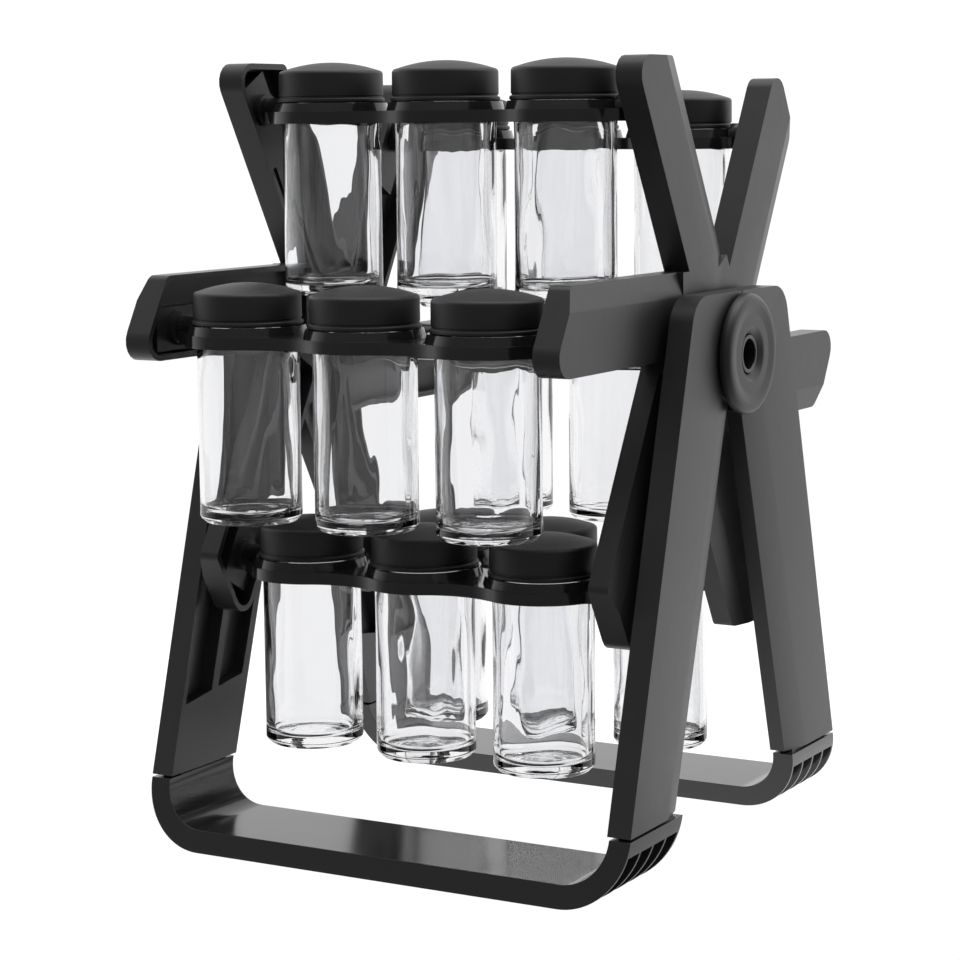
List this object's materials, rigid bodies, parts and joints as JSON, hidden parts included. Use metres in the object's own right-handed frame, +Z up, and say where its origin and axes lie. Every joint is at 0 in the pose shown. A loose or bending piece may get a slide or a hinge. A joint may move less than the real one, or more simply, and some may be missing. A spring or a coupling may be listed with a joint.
{
  "type": "spice carousel",
  "caption": "Free-standing spice carousel: hanging trays of lidded glass jars ride on a turning wheel of two six-armed stars between A-shaped side frames.",
  "frame": {"origin": "on the table, under the middle of the wheel's axle", "axes": "+X along the axle to the right-hand frame, -Y the front, +Z up"},
  "size_m": [0.2396, 0.2714, 0.3313],
  "materials": {
    "frame_plastic": "fine satin texture, dark charcoal",
    "star_plastic": "fine satin texture, dark charcoal",
    "rail_plastic": "polished black",
    "tray_plastic": "polished black",
    "cap_plastic": "satin charcoal",
    "axle_plastic": "smooth black",
    "bush_plastic": "smooth dark grey",
    "lid_plastic": "soft satin black",
    "jar_glass": "clear pressed glass"
  },
  "bodies": {
    "stand": {"side_frame_left": "frame_plastic", "side_frame_right": "frame_plastic", "front_base_rail": "rail_plastic", "rear_base_rail": "rail_plastic", "axle_bush_left": "bush_plastic", "axle_bush_right": "bush_plastic"},
    "wheel": {"axle_tube": "axle_plastic", "star_left": "star_plastic", "star_right": "star_plastic", "hub_cap_left": "cap_plastic", "hub_cap_right": "cap_plastic"},
    "tray_middle_rear": {"tray_middle_rear": "tray_plastic"},
    "jar_middle_rear_1": {"jar_middle_rear_1": "jar_glass"},
    "lid_middle_rear_1": {"lid_middle_rear_1": "lid_plastic"},
    "jar_middle_rear_2": {"jar_middle_rear_2": "jar_glass"},
    "lid_middle_rear_2": {"lid_middle_rear_2": "lid_plastic"},
    "jar_middle_rear_3": {"jar_middle_rear_3": "jar_glass"},
    "lid_middle_rear_3": {"lid_middle_rear_3": "lid_plastic"},
    "tray_top_rear": {"tray_top_rear": "tray_plastic"},
    "jar_top_rear_1": {"jar_top_rear_1": "jar_glass"},
    "lid_top_rear_1": {"lid_top_rear_1": "lid_plastic"},
    "jar_top_rear_2": {"jar_top_rear_2": "jar_glass"},
    "lid_top_rear_2": {"lid_top_rear_2": "lid_plastic"},
    "jar_top_rear_3": {"jar_top_rear_3": "jar_glass"},
    "lid_top_rear_3": {"lid_top_rear_3": "lid_plastic"},
    "tray_top_front": {"tray_top_front": "tray_plastic"},
    "jar_top_front_1": {"jar_top_front_1": "jar_glass"},
    "lid_top_front_1": {"lid_top_front_1": "lid_plastic"},
    "jar_top_front_2": {"jar_top_front_2": "jar_glass"},
    "lid_top_front_2": {"lid_top_front_2": "lid_plastic"},
    "jar_top_front_3": {"jar_top_front_3": "jar_glass"},
    "lid_top_front_3": {"lid_top_front_3": "lid_plastic"},
    "tray_middle_front": {"tray_middle_front": "tray_plastic"},
    "jar_middle_front_1": {"jar_middle_front_1": "jar_glass"},
    "lid_middle_front_1": {"lid_middle_front_1": "lid_plastic"},
    "jar_middle_front_2": {"jar_middle_front_2": "jar_glass"},
    "lid_middle_front_2": {"lid_middle_front_2": "lid_plastic"},
    "jar_middle_front_3": {"jar_middle_front_3": "jar_glass"},
    "lid_middle_front_3": {"lid_middle_front_3": "lid_plastic"},
    "tray_bottom_front": {"tray_bottom_front": "tray_plastic"},
    "jar_bottom_front_1": {"jar_bottom_front_1": "jar_glass"},
    "lid_bottom_front_1": {"lid_bottom_front_1": "lid_plastic"},
    "jar_bottom_front_2": {"jar_bottom_front_2": "jar_glass"},
    "lid_bottom_front_2": {"lid_bottom_front_2": "lid_plastic"},
    "jar_bottom_front_3": {"jar_bottom_front_3": "jar_glass"},
    "lid_bottom_front_3": {"lid_bottom_front_3": "lid_plastic"},
    "tray_bottom_rear": {"tray_bottom_rear": "tray_plastic"},
    "jar_bottom_rear_1": {"jar_bottom_rear_1": "jar_glass"},
    "lid_bottom_rear_1": {"lid_bottom_rear_1": "lid_plastic"},
    "jar_bottom_rear_2": {"jar_bottom_rear_2": "jar_glass"},
    "lid_bottom_rear_2": {"lid_bottom_rear_2": "lid_plastic"},
    "jar_bottom_rear_3": {"jar_bottom_rear_3": "jar_glass"},
    "lid_bottom_rear_3": {"lid_bottom_rear_3": "lid_plastic"}
  },
  "joints": [
    {"name": "wheel_turn", "type": "hinge", "parent": "stand", "child": "wheel", "pos_m": [0, 0, 0.21003], "axis": [1, 0, 0], "continuous": true},
    {"name": "tray_middle_rear_swing", "type": "hinge", "parent": "wheel", "child": "tray_middle_rear", "pos_m": [0, 0.11014, 0.19768], "axis": [1, 0, 0], "continuous": true},
    {"name": "jar_middle_rear_1_lift", "type": "slide", "parent": "tray_middle_rear", "child": "jar_middle_rear_1", "axis": [0, 0, 1], "range_m": [0, 0.05]},
    {"name": "lid_middle_rear_1_off", "type": "slide", "parent": "jar_middle_rear_1", "child": "lid_middle_rear_1", "axis": [0, 0, 1], "range_m": [0, 0.02]},
    {"name": "jar_middle_rear_2_lift", "type": "slide", "parent": "tray_middle_rear", "child": "jar_middle_rear_2", "axis": [0, 0, 1], "range_m": [0, 0.05]},
    {"name": "lid_middle_rear_2_off", "type": "slide", "parent": "jar_middle_rear_2", "child": "lid_middle_rear_2", "axis": [0, 0, 1], "range_m": [0, 0.02]},
    {"name": "jar_middle_rear_3_lift", "type": "slide", "parent": "tray_middle_rear", "child": "jar_middle_rear_3", "axis": [0, 0, 1], "range_m": [0, 0.05]},
    {"name": "lid_middle_rear_3_off", "type": "slide", "parent": "jar_middle_rear_3", "child": "lid_middle_rear_3", "axis": [0, 0, 1], "range_m": [0, 0.02]},
    {"name": "tray_top_rear_swing", "type": "hinge", "parent": "wheel", "child": "tray_top_rear", "pos_m": [0, 0.06576, 0.29923], "axis": [1, 0, 0], "continuous": true},
    {"name": "jar_top_rear_1_lift", "type": "slide", "parent": "tray_top_rear", "child": "jar_top_rear_1", "axis": [0, 0, 1], "range_m": [0, 0.085]},
    {"name": "lid_top_rear_1_off", "type": "slide", "parent": "jar_top_rear_1", "child": "lid_top_rear_1", "axis": [0, 0, 1], "range_m": [0, 0.02]},
    {"name": "jar_top_rear_2_lift", "type": "slide", "parent": "tray_top_rear", "child": "jar_top_rear_2", "axis": [0, 0, 1], "range_m": [0, 0.085]},
    {"name": "lid_top_rear_2_off", "type": "slide", "parent": "jar_top_rear_2", "child": "lid_top_rear_2", "axis": [0, 0, 1], "range_m": [0, 0.02]},
    {"name": "jar_top_rear_3_lift", "type": "slide", "parent": "tray_top_rear", "child": "jar_top_rear_3", "axis": [0, 0, 1], "range_m": [0, 0.085]},
    {"name": "lid_top_rear_3_off", "type": "slide", "parent": "jar_top_rear_3", "child": "lid_top_rear_3", "axis": [0, 0, 1], "range_m": [0, 0.02]},
    {"name": "tray_top_front_swing", "type": "hinge", "parent": "wheel", "child": "tray_top_front", "pos_m": [0, -0.04437, 0.31158], "axis": [1, 0, 0], "continuous": true},
    {"name": "jar_top_front_1_lift", "type": "slide", "parent": "tray_top_front", "child": "jar_top_front_1", "axis": [0, 0, 1], "range_m": [0, 0.085]},
    {"name": "lid_top_front_1_off", "type": "slide", "parent": "jar_top_front_1", "child": "lid_top_front_1", "axis": [0, 0, 1], "range_m": [0, 0.02]},
    {"name": "jar_top_front_2_lift", "type": "slide", "parent": "tray_top_front", "child": "jar_top_front_2", "axis": [0, 0, 1], "range_m": [0, 0.085]},
    {"name": "lid_top_front_2_off", "type": "slide", "parent": "jar_top_front_2", "child": "lid_top_front_2", "axis": [0, 0, 1], "range_m": [0, 0.02]},
    {"name": "jar_top_front_3_lift", "type": "slide", "parent": "tray_top_front", "child": "jar_top_front_3", "axis": [0, 0, 1], "range_m": [0, 0.085]},
    {"name": "lid_top_front_3_off", "type": "slide", "parent": "jar_top_front_3", "child": "lid_top_front_3", "axis": [0, 0, 1], "range_m": [0, 0.02]},
    {"name": "tray_middle_front_swing", "type": "hinge", "parent": "wheel", "child": "tray_middle_front", "pos_m": [0, -0.11014, 0.22238], "axis": [1, 0, 0], "continuous": true},
    {"name": "jar_middle_front_1_lift", "type": "slide", "parent": "tray_middle_front", "child": "jar_middle_front_1", "axis": [0, 0, 1], "range_m": [0, 0.085]},
    {"name": "lid_middle_front_1_off", "type": "slide", "parent": "jar_middle_front_1", "child": "lid_middle_front_1", "axis": [0, 0, 1], "range_m": [0, 0.02]},
    {"name": "jar_middle_front_2_lift", "type": "slide", "parent": "tray_middle_front", "child": "jar_middle_front_2", "axis": [0, 0, 1], "range_m": [0, 0.085]},
    {"name": "lid_middle_front_2_off", "type": "slide", "parent": "jar_middle_front_2", "child": "lid_middle_front_2", "axis": [0, 0, 1], "range_m": [0, 0.02]},
    {"name": "jar_middle_front_3_lift", "type": "slide", "parent": "tray_middle_front", "child": "jar_middle_front_3", "axis": [0, 0, 1], "range_m": [0, 0.085]},
    {"name": "lid_middle_front_3_off", "type": "slide", "parent": "jar_middle_front_3", "child": "lid_middle_front_3", "axis": [0, 0, 1], "range_m": [0, 0.02]},
    {"name": "tray_bottom_front_swing", "type": "hinge", "parent": "wheel", "child": "tray_bottom_front", "pos_m": [0, -0.06576, 0.12082], "axis": [1, 0, 0], "continuous": true},
    {"name": "jar_bottom_front_1_lift", "type": "slide", "parent": "tray_bottom_front", "child": "jar_bottom_front_1", "axis": [0, 0, 1], "range_m": [0, 0.05]},
    {"name": "lid_bottom_front_1_off", "type": "slide", "parent": "jar_bottom_front_1", "child": "lid_bottom_front_1", "axis": [0, 0, 1], "range_m": [0, 0.02]},
    {"name": "jar_bottom_front_2_lift", "type": "slide", "parent": "tray_bottom_front", "child": "jar_bottom_front_2", "axis": [0, 0, 1], "range_m": [0, 0.05]},
    {"name": "lid_bottom_front_2_off", "type": "slide", "parent": "jar_bottom_front_2", "child": "lid_bottom_front_2", "axis": [0, 0, 1], "range_m": [0, 0.02]},
    {"name": "jar_bottom_front_3_lift", "type": "slide", "parent": "tray_bottom_front", "child": "jar_bottom_front_3", "axis": [0, 0, 1], "range_m": [0, 0.05]},
    {"name": "lid_bottom_front_3_off", "type": "slide", "parent": "jar_bottom_front_3", "child": "lid_bottom_front_3", "axis": [0, 0, 1], "range_m": [0, 0.02]},
    {"name": "tray_bottom_rear_swing", "type": "hinge", "parent": "wheel", "child": "tray_bottom_rear", "pos_m": [0, 0.04437, 0.10847], "axis": [1, 0, 0], "continuous": true},
    {"name": "jar_bottom_rear_1_lift", "type": "slide", "parent": "tray_bottom_rear", "child": "jar_bottom_rear_1", "axis": [0, 0, 1], "range_m": [0, 0.07]},
    {"name": "lid_bottom_rear_1_off", "type": "slide", "parent": "jar_bottom_rear_1", "child": "lid_bottom_rear_1", "axis": [0, 0, 1], "range_m": [0, 0.02]},
    {"name": "jar_bottom_rear_2_lift", "type": "slide", "parent": "tray_bottom_rear", "child": "jar_bottom_rear_2", "axis": [0, 0, 1], "range_m": [0, 0.07]},
    {"name": "lid_bottom_rear_2_off", "type": "slide", "parent": "jar_bottom_rear_2", "child": "lid_bottom_rear_2", "axis": [0, 0, 1], "range_m": [0, 0.02]},
    {"name": "jar_bottom_rear_3_lift", "type": "slide", "parent": "tray_bottom_rear", "child": "jar_bottom_rear_3", "axis": [0, 0, 1], "range_m": [0, 0.07]},
    {"name": "lid_bottom_rear_3_off", "type": "slide", "parent": "jar_bottom_rear_3", "child": "lid_bottom_rear_3", "axis": [0, 0, 1], "range_m": [0, 0.02]}
  ],
  "couplings": [
    {"joint": "tray_middle_rear_swing", "follows": "wheel_turn", "ratio": -1},
    {"joint": "tray_top_rear_swing", "follows": "wheel_turn", "ratio": -1},
    {"joint": "tray_top_front_swing", "follows": "wheel_turn", "ratio": -1},
    {"joint": "tray_middle_front_swing", "follows": "wheel_turn", "ratio": -1},
    {"joint": "tray_bottom_front_swing", "follows": "wheel_turn", "ratio": -1},
    {"joint": "tray_bottom_rear_swing", "follows": "wheel_turn", "ratio": -1}
  ]
}
